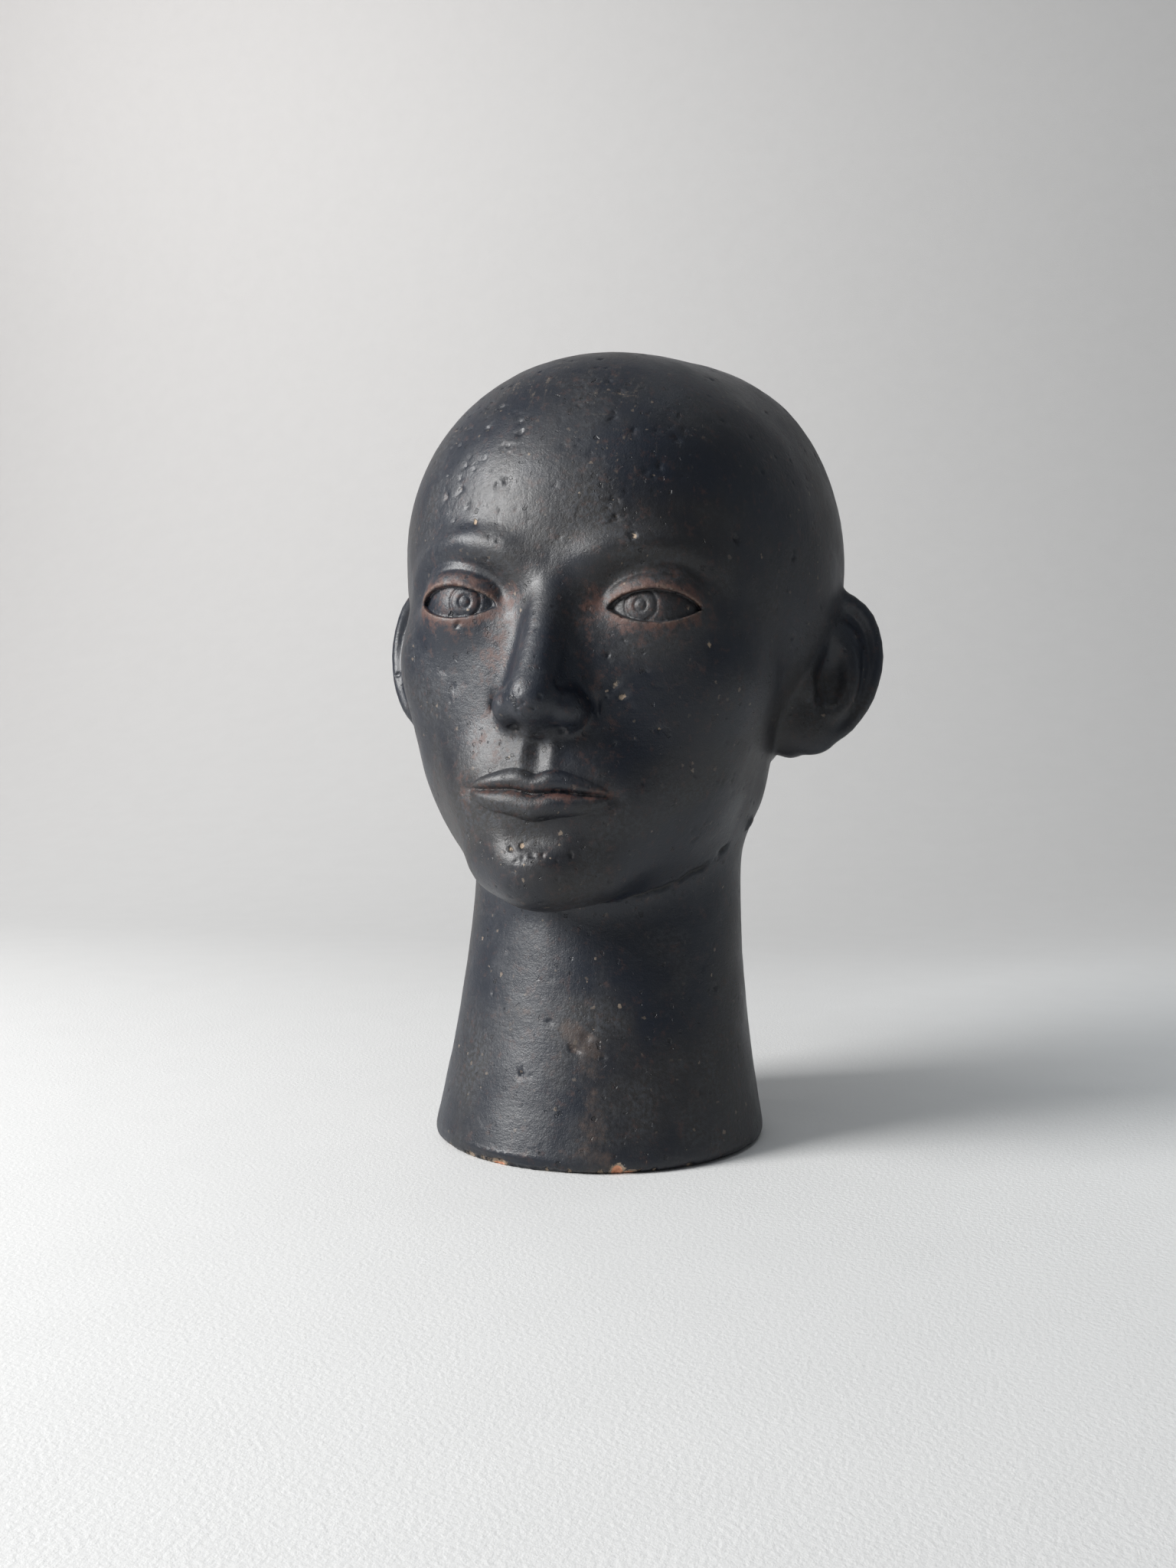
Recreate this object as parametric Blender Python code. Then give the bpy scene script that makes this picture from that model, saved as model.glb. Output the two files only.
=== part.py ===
"""A ceramic bust: a bald head on a long flared neck, one hollow piece of fired clay, open underneath.

The origin is on the table, under the middle of the whole bust. The face looks along -Y and +Z is up.
The form is a field of signed distances, in metres: masses of clay that are joined and cut softly.
The head's carving is in hundredths of the head's height, from an origin between the eyes.
"""

import math

import bpy
import numpy as np
import openvdb

# Sizes that can be set by themselves, in metres
HEAD_HEIGHT = 0.222
CHIN_ABOVE_TABLE = 0.095
FOOT_RADIUS = 0.068
NECK_RADIUS = 0.0547
FOOT_ROUNDING = 0.009
WALL = 0.012

# Where the foot, the neck's top and the head stand, in metres to the left and back of the origin
FOOT = np.array([-0.0032, -0.009])
NECK = np.array([-0.001, 0.001])
HEAD_SET_BACK = -0.001
HEAD_LEAN = math.radians(3)

# How finely the surface is taken from the field, and how many triangles stay
SKIN_STEP = 0.0016
COARSE_STEPS = 4
TRIANGLES = 9400

UNIT = HEAD_HEIGHT / 100
HEAD = np.array([0.0, HEAD_SET_BACK, CHIN_ABOVE_TABLE + HEAD_HEIGHT / 2])
NECK_TOP = CHIN_ABOVE_TABLE + 0.12 * HEAD_HEIGHT


def soft_join(a, b, blend):
    """The union of two fields, rounded where they meet over about the blend's width."""
    overlap = np.maximum(blend - np.abs(a - b), 0) / blend
    return np.minimum(a, b) - overlap**3 * blend / 6


def soft_cut(a, b, blend):
    """Field a with b taken out of it."""
    return -soft_join(-a, b, blend)


def egg(p, centre, radii, squareness=2.0):
    """An ellipsoid, or a squarer one where the squareness is over 2."""
    scaled = np.abs((p - centre) / radii)
    powers = scaled ** (squareness - 1)
    length = np.maximum((powers * scaled).sum(axis=1), 1e-12) ** (1 / squareness)
    slope = np.linalg.norm(powers / radii, axis=1) * length ** (1 - squareness)
    return (length - 1) / np.maximum(slope, 1e-9)


def rod(p, start, end, start_radius, end_radius):
    """A round rod whose radius changes evenly from one end to the other."""
    start = np.asarray(start, float)
    along = np.asarray(end, float) - start
    t = np.clip((p - start) @ along / (along @ along), 0, 1)
    axis_distance = np.linalg.norm(p - start - t[:, None] * along, axis=1)
    return axis_distance - (start_radius + t * (end_radius - start_radius))


def strand(p, line, steps=5):
    """A rod that follows a smooth curve. Each entry of the line is x, y, z and a radius."""
    line = np.asarray(line, float)
    ends = np.vstack([2 * line[0] - line[1], line, 2 * line[-1] - line[-2]])
    smooth = [line[0]]
    for i in range(1, len(ends) - 2):
        before, a, b, after = ends[i - 1 : i + 3]
        for t in np.linspace(0, 1, steps + 1)[1:]:
            bend = (2 * before - 5 * a + 4 * b - after) * t**2 + (3 * a - before - 3 * b + after) * t**3
            smooth.append(a + (b - before) * t / 2 + bend / 2)
    field = np.full(len(p), np.inf)
    for a, b in zip(smooth, smooth[1:]):
        field = np.minimum(field, rod(p, a[:3], b[:3], a[3], b[3]))
    return field


def near(p, centre, reach):
    """Which points a small feature can change."""
    return ((p - centre) ** 2).sum(axis=1) < reach**2


def bell(distance, width):
    """A soft bump: 1 at no distance, falling off over the width."""
    return np.exp(-((distance / width) ** 2))


def skull_mass(p):
    """The cranium, forehead, nape and face as plain rounded masses."""
    d = egg(p, (0, 11, 10.8), (41.5, 41, 38), 2.15)
    d = soft_join(d, egg(p, (0, -7, 14), (35, 34.3, 34)), 10)
    d = soft_join(d, egg(p, (0, 15, -14), (32.5, 28, 20)), 9)
    return soft_join(d, egg(p, (0, -11, -13), (30.5, 30, 34), 2.35), 12)


def skull_swell(p):
    """How far the crown's left side is fuller than its right."""
    return 5.1 * bell(np.linalg.norm(p - (22, 15, 41), axis=1), 18.5)


def jaw(d, p):
    """The jaw, the cheekbones and the chin."""
    d = soft_join(d, rod(p, (19.5, 1, -27), (7, -31.5, -40.5), 9.5, 7.5), 10)
    d = soft_join(d, egg(p, (19.5, -19, -9), (11.5, 14, 10)), 12)
    return soft_join(d, egg(p, (0, -36.6, -42.0), (8.5, 7.8, 7.6)), 8)


SOCKET = (14.4, -44.0, 1.4)


def eye_socket(d, p):
    """The hollow under the brow."""
    return soft_cut(d, egg(p, SOCKET, (9.6, 6.4, 6.0)), 4)


EYE = np.array([14.6, -30.6, -0.6])
EYE_RADIUS = 9.1
EYE_HALF_WIDTH = 7.8
EYE_TURN = math.radians(13)
UPPER_LID = 1.15
LOWER_LID = 0.85


def eye_opening(across, up):
    """How far outside the almond between the lids a point is."""
    share = np.clip(1 - (across / EYE_HALF_WIDTH) ** 2, 0, 1)
    middle = 0.05 * across
    upper = middle + 3.05 * share**0.75
    lower = middle - 2.45 * share**0.85
    return np.maximum(up - upper, lower - up)


def eye(d, p):
    """The eyeball, with lids that wrap it."""
    from_eye = p - EYE
    distance = np.linalg.norm(from_eye, axis=1)
    across = from_eye[:, 0] * math.cos(EYE_TURN) + from_eye[:, 1] * math.sin(EYE_TURN)
    up = from_eye[:, 2]
    opening = eye_opening(across, up)
    over = 1 / (1 + np.exp(-up / 0.6))
    lid = distance - (EYE_RADIUS + LOWER_LID + over * (UPPER_LID - LOWER_LID))
    lid = soft_cut(lid, opening, 0.5)
    d = soft_join(d, lid, 4.5 - 3.3 * over)
    return soft_join(d, distance - EYE_RADIUS, 0.2)


def brow(d, p):
    """The soft edge over each socket."""
    line = [
        (3.0, -38.6, 5.8, 1.3),
        (9.0, -39.7, 8.5, 1.6),
        (16.5, -37.3, 9.6, 1.5),
        (23.0, -31.6, 8.0, 1.0),
        (27.0, -26.0, 5.0, 0.2),
    ]
    return soft_join(d, strand(p, line), 6)


def nose(d, p):
    """The bridge, its flanks, the tip and the wings, with the nostrils cut in from below."""
    d = soft_join(d, rod(p, (0, -34.6, 4.5), (0, -40.4, -14.5), 4.2, 6.0), 4)
    d = soft_join(d, rod(p, (0, -37.4, 5), (0, -46.4, -14.2), 3.0, 3.6), 3.5)
    d = soft_join(d, egg(p, (0, -46.4, -16.0), (4.2, 4.2, 3.5)), 3.2)
    d = soft_join(d, egg(p, (4.7, -42.7, -17.0), (2.9, 4.7, 3.0)), 2.6)
    d = soft_join(d, rod(p, (0, -46.9, -18.1), (0, -43.2, -19.3), 1.6, 2.0), 1.6)
    crease = [
        (4.2, -46.8, -13.4, 0.2),
        (6.8, -43.7, -13.2, 0.4),
        (8.5, -40.6, -15.4, 0.5),
        (8.7, -39.5, -19.4, 0.4),
    ]
    d = soft_cut(d, strand(p, crease), 1.3)
    return soft_cut(d, rod(p, (2.4, -46.0, -20.8), (3.9, -43.2, -20.5), 0.8, 1.3), 0.9)


MOUTH_HEIGHT = -30.3
MOUTH_HALF_WIDTH = 11.6


def lip_relief(p):
    """How far the closed lips stand out of the muzzle, by where a point lies as seen from in front."""
    across = p[:, 0]
    share = np.clip(1 - (across / MOUTH_HALF_WIDTH) ** 2, 0, 1)
    meeting = 0.30 * bell(across - 4.2, 2.4) - 0.25 * bell(across, 2.0)
    up = p[:, 2] - MOUTH_HEIGHT - meeting
    bow = 0.5 * bell(across, 1.3)
    over = np.clip(up / (3.6 * share**0.6 - bow + 0.05), 0, 1)
    under = np.clip(-up / (4.3 * share**0.5 + 0.05), 0, 1)
    upper = 1.05 * (4 * over * (1 - over)) ** 0.9 * share**0.5
    lower = 1.45 * (4 * under * (1 - under)) ** 0.85 * share**0.6
    crease = 0.38 * bell(up, 0.4) * bell(np.maximum(across - MOUTH_HALF_WIDTH + 0.6, 0), 0.8)
    corner = 0.45 * bell(np.hypot(across - MOUTH_HALF_WIDTH - 0.4, up + 0.2), 1.6)
    return upper + lower - crease - corner


def philtrum(p):
    """How far the groove between nose and lip is sunk, and how its two edges stand."""
    tall = bell(p[:, 2] + 24, 3.4)
    return tall * (0.5 * bell(p[:, 0], 1.3) - 0.3 * bell(p[:, 0] - 2.6, 1.1))


def mouth(d, p):
    """The rounded muzzle, the groove under the nose and the two closed lips."""
    d = soft_join(d, egg(p, (0, -31.4, -29.5), (18, 12.2, 12)), 8)
    d = soft_cut(d, egg(p, (0, -47.6, -37.4), (9, 4.8, 2.8)), 3.5)
    return d - lip_relief(p) + philtrum(p)


EAR = np.array([41.3, 8.5, -7.5])
EAR_OUT = np.array([0.82, 0.57, 0.0])
EAR_UP = np.array([0.0, 0.10, 0.995])
EAR_FRONT = np.cross(EAR_OUT, EAR_UP)


def ear(d, p):
    """One ear, as a shell of clay set on the side of the head. Its own axes run out, up and forward."""
    q = (p - EAR) @ np.array([EAR_OUT, EAR_UP, EAR_FRONT]).T
    shell = egg(q, (-1.0, 3.0, 0), (8.7, 12.0, 2.6))
    shell = soft_join(shell, egg(q, (-4.8, -8.6, -0.4), (5.6, 5.6, 2.4)), 4)
    shell = soft_join(shell, egg(q, (-8, -2.5, -2.5), (6.4, 12.5, 4.4)), 3)
    shell = soft_cut(shell, egg(q, (-2.6, 0.4, 4.4), (4.2, 7.2, 4.6)), 2.2)
    rim = [
        (-7.5, 8.5, 0.8, 1.4),
        (-5.2, 12.8, 0.8, 1.6),
        (0.8, 15.0, 0.8, 1.7),
        (6.0, 12.2, 0.8, 1.7),
        (8.0, 5.5, 0.8, 1.6),
        (6.4, -2.0, 0.7, 1.5),
        (2.6, -8.0, 0.4, 1.3),
        (-1.6, -11.4, 0.0, 1.0),
    ]
    groove = [
        (-3.5, 10.4, 2.6, 0.9),
        (1.0, 12.0, 2.6, 1.1),
        (4.6, 9.6, 2.6, 1.1),
        (5.6, 4.5, 2.6, 1.0),
        (4.0, -3.0, 2.6, 0.7),
    ]
    fold = [
        (-1.5, 8.6, 1.0, 0.8),
        (2.1, 5.6, 1.4, 1.2),
        (2.7, 0.0, 1.4, 1.3),
        (0.6, -5.0, 1.2, 1.3),
        (-3.2, -7.0, 1.0, 1.2),
    ]
    shell = soft_join(shell, strand(q, rim, 3), 1.6)
    shell = soft_cut(shell, strand(q, groove, 3), 1.4)
    shell = soft_join(shell, strand(q, fold, 3), 1.6)
    shell = soft_join(shell, egg(q, (-7.0, -2.4, 1.0), (1.9, 2.7, 2.0)), 1.6)
    return soft_join(d, shell, 3.6)


def neck_column(p):
    """The neck as a tall column that widens to the foot. Its axis leans from the foot to the neck's top."""
    height = np.clip(p[:, 2] / NECK_TOP, 0, 1.4)
    radius = NECK_RADIUS + (FOOT_RADIUS - NECK_RADIUS) * (1 - height) ** 2 * np.sign(1 - height)
    axis = FOOT + height[:, None] * (NECK - FOOT)
    steep = 0.97
    return (np.linalg.norm(p[:, :2] - axis, axis=1) - radius) * steep


def neck_mass(p):
    """The neck's column, ended inside the skull."""
    return soft_cut(neck_column(p), NECK_TOP + 0.16 * HEAD_HEIGHT - p[:, 2], 9 * UNIT)


def bust(p):
    """The whole field of the bust, in metres."""
    across, up = math.cos(HEAD_LEAN), math.sin(HEAD_LEAN)
    lean = np.array([[across, 0, up], [0, 1, 0], [-up, 0, across]])
    q = (p - HEAD) @ lean / UNIT
    swell = skull_swell(q)
    q[:, 0] = np.abs(q[:, 0])
    core = skull_mass(q) - swell
    head = jaw(core, q)
    for centre, reach, change in ((SOCKET, 20, eye_socket), ((14, -36, 7), 26, brow)):
        close = near(q, centre, reach)
        core[close] = change(core[close], q[close])
        head[close] = change(head[close], q[close])
    details = (
        ((15, -36, 0), 21, eye),
        ((0, -44, -8), 24, nose),
        ((0, -42, -31), 30, mouth),
        (EAR, 26, ear),
    )
    for centre, reach, detail in details:
        close = near(q, centre, reach)
        head[close] = detail(head[close], q[close])
    neck = neck_mass(p)
    inside = soft_join(core * UNIT, neck, 13.5 * UNIT) + WALL
    whole = soft_join(head * UNIT, neck, 9 * UNIT)
    whole = -soft_join(-whole, p[:, 2], FOOT_ROUNDING)
    return np.maximum(whole, -inside)


def skin(field, low, high, step):
    """The surface where a field is zero, as points and quads. Fine values are worked out only near it."""
    coarse = step * COARSE_STEPS
    blocks = np.ceil((np.asarray(high) - low) / coarse).astype(int)
    corner = [np.arange(n) * coarse for n in blocks]
    places = np.stack(np.meshgrid(*corner, indexing="ij"), axis=-1).reshape(-1, 3) + low
    middles = field(places + coarse / 2 - step / 2)
    crossed = np.flatnonzero(np.abs(middles) < 1.6 * coarse)
    grid = np.empty((len(places), COARSE_STEPS**3), np.float32)
    grid[:] = np.clip(middles, -coarse, coarse)[:, None]
    fine = np.arange(COARSE_STEPS) * step
    offsets = np.stack(np.meshgrid(fine, fine, fine, indexing="ij"), axis=-1).reshape(-1, 3)
    for some in np.array_split(crossed, max(1, len(crossed) // 1500)):
        points = (places[some, None] + offsets).reshape(-1, 3)
        grid[some] = field(points).reshape(len(some), -1)
    n, m = blocks, COARSE_STEPS
    grid = grid.reshape(n[0], n[1], n[2], m, m, m).transpose(0, 3, 1, 4, 2, 5).reshape(n * m)
    volume = openvdb.FloatGrid(coarse)
    volume.copyFromArray(np.ascontiguousarray(grid))
    volume.transform = openvdb.createLinearTransform(step)
    points, quads = volume.convertToQuads()
    return settle(field, points.astype(float) + low, step), quads


def settle(field, points, step):
    """Moves points along the field's slope until they lie on the surface."""
    nudge = step / 4
    for _ in range(2):
        slope = np.empty_like(points)
        for axis in range(3):
            shift = np.zeros(3)
            shift[axis] = nudge
            slope[:, axis] = (field(points + shift) - field(points - shift)) / (2 * nudge)
        steepness = np.maximum((slope**2).sum(axis=1), 0.25)
        move = np.clip(field(points) / steepness, -step / 2, step / 2)
        points = points - move[:, None] * slope
    return points


def room():
    """The corners of the box in which the bust is looked for."""
    spare = 2 * COARSE_STEPS * SKIN_STEP
    reach = max(0.55 * HEAD_HEIGHT, FOOT_RADIUS, NECK_RADIUS) + spare
    top = CHIN_ABOVE_TABLE + HEAD_HEIGHT + spare
    return np.array([-reach, -reach, -spare]), np.array([reach, reach, top])


def carved_mesh(name):
    """The bust's surface as one closed mesh, thinned to the triangles that its form needs."""
    points, quads = skin(bust, *room(), SKIN_STEP)
    mesh = bpy.data.meshes.new(name)
    mesh.from_pydata(points.tolist(), [], quads.tolist())
    whole = bpy.data.objects.new(name, mesh)
    bpy.context.scene.collection.objects.link(whole)
    thin = whole.modifiers.new("thin", "DECIMATE")
    thin.ratio = TRIANGLES / (2 * len(quads))
    depsgraph = bpy.context.evaluated_depsgraph_get()
    thinned = bpy.data.meshes.new_from_object(whole.evaluated_get(depsgraph))
    bpy.data.objects.remove(whole)
    bpy.data.meshes.remove(mesh)
    thinned.name = name
    return thinned


def set_flat(mesh):
    """Points of the foot that are a hair from the table are set exactly on it."""
    hair = 0.00015
    for vertex in mesh.vertices:
        if abs(vertex.co.z) < hair:
            vertex.co.z = 0


def black_slip():
    """The burnished black surface of the clay."""
    material = bpy.data.materials.new("black_slip")
    material.use_nodes = True
    shader = material.node_tree.nodes["Principled BSDF"]
    shader.inputs["Base Color"].default_value = (0.018, 0.018, 0.021, 1)
    shader.inputs["Roughness"].default_value = 0.42
    shader.inputs["Metallic"].default_value = 0
    return material


def main():
    for old in list(bpy.data.objects):
        bpy.data.objects.remove(old)
    mesh = carved_mesh("bust")
    set_flat(mesh)
    mesh.shade_smooth()
    mesh.materials.append(black_slip())
    bpy.context.scene.collection.objects.link(bpy.data.objects.new("bust", mesh))


if __name__ == "__main__":
    main()
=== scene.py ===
"""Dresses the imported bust: a life-size bald head of hollow black clay, on a pale studio floor.

The frame gives the bust's height and place. The fine surface is carved here as a field of signed
distances in hundredths of the head's height, with its zero in the middle of the head, x to the
bust's own left, -y the way the face looks and z up. Pits, chips and tool marks are then pressed in.
"""

import math

import bpy
import numpy as np
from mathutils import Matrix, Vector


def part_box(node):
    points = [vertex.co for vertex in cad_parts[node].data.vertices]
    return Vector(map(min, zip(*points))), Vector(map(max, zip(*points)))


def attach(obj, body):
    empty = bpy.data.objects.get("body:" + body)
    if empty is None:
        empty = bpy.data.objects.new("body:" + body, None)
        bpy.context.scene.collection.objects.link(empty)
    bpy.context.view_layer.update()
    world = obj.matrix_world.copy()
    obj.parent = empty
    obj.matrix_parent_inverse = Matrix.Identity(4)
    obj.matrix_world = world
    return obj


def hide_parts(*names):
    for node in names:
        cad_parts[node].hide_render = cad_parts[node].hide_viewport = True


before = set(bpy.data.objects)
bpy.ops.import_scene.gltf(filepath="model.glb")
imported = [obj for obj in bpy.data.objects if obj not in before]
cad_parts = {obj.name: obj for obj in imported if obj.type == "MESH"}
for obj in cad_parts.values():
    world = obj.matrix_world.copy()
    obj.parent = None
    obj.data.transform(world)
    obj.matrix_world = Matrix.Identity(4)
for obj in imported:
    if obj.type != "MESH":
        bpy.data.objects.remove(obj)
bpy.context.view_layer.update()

import openvdb
from mathutils import Vector

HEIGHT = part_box("bust")[1].z

bl_info = {
    "name": "Burnished clay bust",
    "version": (1, 0, 0),
    "blender": (4, 5, 0),
    "location": "3D View > Sidebar > Clay bust",
    "description": "Carves a hollow black clay head with pits and chips on a pale stage",
    "category": "Object",
}


def length_setting(name, description, default):
    """A length that the panel shows in the scene's units."""
    return bpy.props.FloatProperty(
        name=name, description=description, default=default, unit="LENGTH", precision=4
    )


def place_setting(name, description, default):
    """A place on the table, from the origin."""
    return bpy.props.FloatVectorProperty(
        name=name, description=description, size=2, default=default, unit="LENGTH", precision=4
    )


def colour_setting(name, description, default):
    """A colour that the panel shows."""
    return bpy.props.FloatVectorProperty(
        name=name, description=description, subtype="COLOR", default=default
    )


# The head takes this share of the whole height, and the neck the rest
HEAD_SHARE = 0.7


class BustSizes(bpy.types.PropertyGroup):
    """Sizes of the carved clay."""

    head_height: length_setting("Head height", "From the crown to the chin", HEAD_SHARE * HEIGHT)
    chin_height: length_setting(
        "Chin height", "From the table to the chin", (1 - HEAD_SHARE) * HEIGHT
    )
    head_set_back: length_setting(
        "Head set back", "How far the head's middle is behind the origin", -0.001
    )
    head_lean: bpy.props.FloatProperty(
        name="Head lean",
        description="Turn of the head to its own left",
        default=math.radians(3),
        subtype="ANGLE",
    )
    foot_radius: length_setting("Foot radius", "Outer radius at the table", 0.068)
    foot_place: place_setting("Foot place", "Middle of the foot", (-0.0032, -0.009))
    neck_radius: length_setting("Neck radius", "Radius just under the jaw", 0.0547)
    neck_place: place_setting("Neck place", "Middle of the neck under the jaw", (-0.001, 0.001))
    wall: length_setting("Clay wall", "Thickness of the hollow's wall", 0.012)
    foot_rounding: length_setting("Foot rounding", "Width of the worn edge at the table", 0.009)
    grain_step: length_setting("Carving step", "Spacing of the points of the raw mesh", 0.00094)
    triangles: bpy.props.IntProperty(
        name="Triangles", description="Triangles kept in the finished mesh", default=192000
    )
    pits: bpy.props.IntProperty(
        name="Pits", description="Larger pits pressed into the surface", default=520
    )


class BustColours(bpy.types.PropertyGroup):
    """Colours of the clay and the stage."""

    slip: colour_setting("Black slip", "The burnished surface", (0.0063, 0.0095, 0.0170))
    slip_brown: colour_setting(
        "Browned slip", "Warmer clouds in the slip", (0.0155, 0.0143, 0.0142)
    )
    bloom: colour_setting("Grey bloom", "Rubbed, lighter grain of the slip", (0.034, 0.038, 0.046))
    rubbed: colour_setting("Rubbed clay", "Clay where the slip is thin", (0.078, 0.037, 0.029))
    stained: colour_setting(
        "Brown stain", "The run down the front of the neck", (0.056, 0.041, 0.035)
    )
    broken: colour_setting("Broken clay", "Fresh clay in chips", (0.68, 0.32, 0.19))
    speck: colour_setting("Pale grit", "Grit and lime that shows as dots", (0.30, 0.235, 0.175))
    floor: colour_setting("Floor", "The plain floor and backdrop", (0.635, 0.64, 0.64))


class Form:
    """The bust's main sizes in hundredths of the head's height."""

    def __init__(self, sizes):
        self.unit = sizes.head_height / 100
        self.head = np.array([0, sizes.head_set_back, sizes.chin_height + sizes.head_height / 2])
        self.lean = sizes.head_lean
        self.table = -self.head[2] / self.unit
        self.foot = (np.array(sizes.foot_place) - self.head[:2]) / self.unit
        self.neck = (np.array(sizes.neck_place) - self.head[:2]) / self.unit
        self.foot_radius = sizes.foot_radius / self.unit
        self.neck_radius = sizes.neck_radius / self.unit
        self.neck_top = sizes.chin_height / self.unit + 12 + self.table
        self.wall = sizes.wall / self.unit
        self.rounding = sizes.foot_rounding / self.unit

    def leaned(self, p):
        """Points of the upright bust as the leaning head sees them."""
        across, up = math.cos(self.lean), math.sin(self.lean)
        return p @ np.array([[across, 0, up], [0, 1, 0], [-up, 0, across]])


# Rounded masses of clay, and how they meet


def soft_join(a, b, blend):
    """The union of two fields, rounded where they meet over about the blend's width."""
    overlap = np.maximum(blend - np.abs(a - b), 0) / blend
    return np.minimum(a, b) - overlap**3 * blend / 6


def soft_cut(a, b, blend):
    """Field a with b taken out of it."""
    return -soft_join(-a, b, blend)


def egg(p, centre, radii, squareness=2.0):
    """An ellipsoid, or a squarer one where the squareness is over 2."""
    scaled = np.abs((p - centre) / radii)
    powers = scaled ** (squareness - 1)
    length = np.maximum((powers * scaled).sum(axis=1), 1e-12) ** (1 / squareness)
    slope = np.linalg.norm(powers / radii, axis=1) * length ** (1 - squareness)
    return (length - 1) / np.maximum(slope, 1e-9)


def rod(p, start, end, start_radius, end_radius):
    """A round rod whose radius changes evenly from one end to the other."""
    start = np.asarray(start, float)
    along = np.asarray(end, float) - start
    t = np.clip((p - start) @ along / (along @ along), 0, 1)
    axis_distance = np.linalg.norm(p - start - t[:, None] * along, axis=1)
    return axis_distance - (start_radius + t * (end_radius - start_radius))


def strand(p, line, steps=5):
    """A rod that follows a smooth curve. Each entry of the line is x, y, z and a radius."""
    line = np.asarray(line, float)
    ends = np.vstack([2 * line[0] - line[1], line, 2 * line[-1] - line[-2]])
    smooth = [line[0]]
    for i in range(1, len(ends) - 2):
        before, a, b, after = ends[i - 1 : i + 3]
        for t in np.linspace(0, 1, steps + 1)[1:]:
            bend = (2 * before - 5 * a + 4 * b - after) * t**2
            bend = bend + (3 * a - before - 3 * b + after) * t**3
            smooth.append(a + (b - before) * t / 2 + bend / 2)
    field = np.full(len(p), np.inf)
    for a, b in zip(smooth, smooth[1:]):
        field = np.minimum(field, rod(p, a[:3], b[:3], a[3], b[3]))
    return field


def near(p, centre, reach):
    """Which points a small feature can change."""
    return ((p - centre) ** 2).sum(axis=1) < reach**2


def nearest(points, centre):
    """The point that lies closest to a centre."""
    return points[np.argmin(((points - centre) ** 2).sum(axis=1))]


def bell(distance, width):
    """A soft bump: 1 at no distance, falling off over the width."""
    return np.exp(-((distance / width) ** 2))


def patch(p, centre, width, stretch=1):
    """A soft bump round a centre, or one stretched along the axes."""
    return bell(np.linalg.norm((p - centre) / stretch, axis=1), width)


# The head


def skull_mass(p):
    """The cranium, forehead, nape and face as plain rounded masses."""
    d = egg(p, (0, 11, 10.8), (41.5, 41, 38), 2.15)
    d = soft_join(d, egg(p, (0, -7, 14), (35, 34.3, 34)), 10)
    d = soft_join(d, egg(p, (0, 15, -14), (32.5, 28, 20)), 9)
    return soft_join(d, egg(p, (0, -11, -13), (30.5, 30, 34), 2.35), 12)


def skull_swell(p):
    """How far the crown's left side is fuller than its right."""
    return 4.7 * patch(p, (19.5, 15, 42), 20.5)


def jaw(d, p):
    """The jaw, the cheekbones and the chin."""
    d = soft_join(d, rod(p, (19.5, 1, -27), (7, -31.5, -40.5), 9.5, 7.5), 10)
    d = soft_join(d, egg(p, (19.5, -19, -9), (11.5, 14, 10)), 12)
    return soft_join(d, egg(p, (0, -36.6, -42.0), (8.5, 7.8, 7.6)), 8)


SOCKET = (14.4, -44.0, 1.4)


def eye_socket(d, p):
    """The hollow under the brow."""
    return soft_cut(d, egg(p, SOCKET, (9.6, 6.4, 6.0)), 4)


EYE = np.array([14.6, -30.6, -0.6])
EYE_RADIUS = 9.1
EYE_HALF_WIDTH = 7.8
EYE_TURN = math.radians(13)
UPPER_LID = 1.15
LOWER_LID = 0.85
IRIS_RADIUS = 2.55
PUPIL_RADIUS = 0.95
GAZE_LIFT = 0.45


def lid_edges(across):
    """How high the upper and the lower lid's edge are, across the eye."""
    share = np.clip(1 - (across / EYE_HALF_WIDTH) ** 2, 0, 1)
    middle = 0.05 * across
    return middle + 3.05 * share**0.75, middle - 2.45 * share**0.85


def eye(d, p):
    """The eyeball with its cut rings, and lids that wrap it."""
    from_eye = p - EYE
    distance = np.linalg.norm(from_eye, axis=1)
    across = from_eye[:, 0] * math.cos(EYE_TURN) + from_eye[:, 1] * math.sin(EYE_TURN)
    up = from_eye[:, 2]
    upper, lower = lid_edges(across)
    opening = np.maximum(up - upper, lower - up)
    over = 1 / (1 + np.exp(-up / 0.6))
    fold = 0.35 * bell(up - upper - 2.7, 0.6) * bell(across, EYE_HALF_WIDTH)
    lid = distance - (EYE_RADIUS + LOWER_LID + over * (UPPER_LID - LOWER_LID)) + fold
    lid = soft_cut(lid, opening, 0.35)
    d = soft_join(d, lid, 4.5 - 3.3 * over)
    from_gaze = np.hypot(from_eye[:, 0], up - GAZE_LIFT)
    rings = 0.20 * bell(from_gaze - IRIS_RADIUS, 0.28) + 0.22 * bell(from_gaze - PUPIL_RADIUS, 0.26)
    return soft_join(d, distance - EYE_RADIUS + rings, 0.15)


def brow(d, p):
    """The soft edge over each socket."""
    line = [
        (3.0, -38.6, 5.8, 1.3),
        (9.0, -39.7, 8.5, 1.6),
        (16.5, -37.3, 9.6, 1.5),
        (23.0, -31.6, 8.0, 1.0),
        (27.0, -26.0, 5.0, 0.2),
    ]
    return soft_join(d, strand(p, line), 6)


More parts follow.
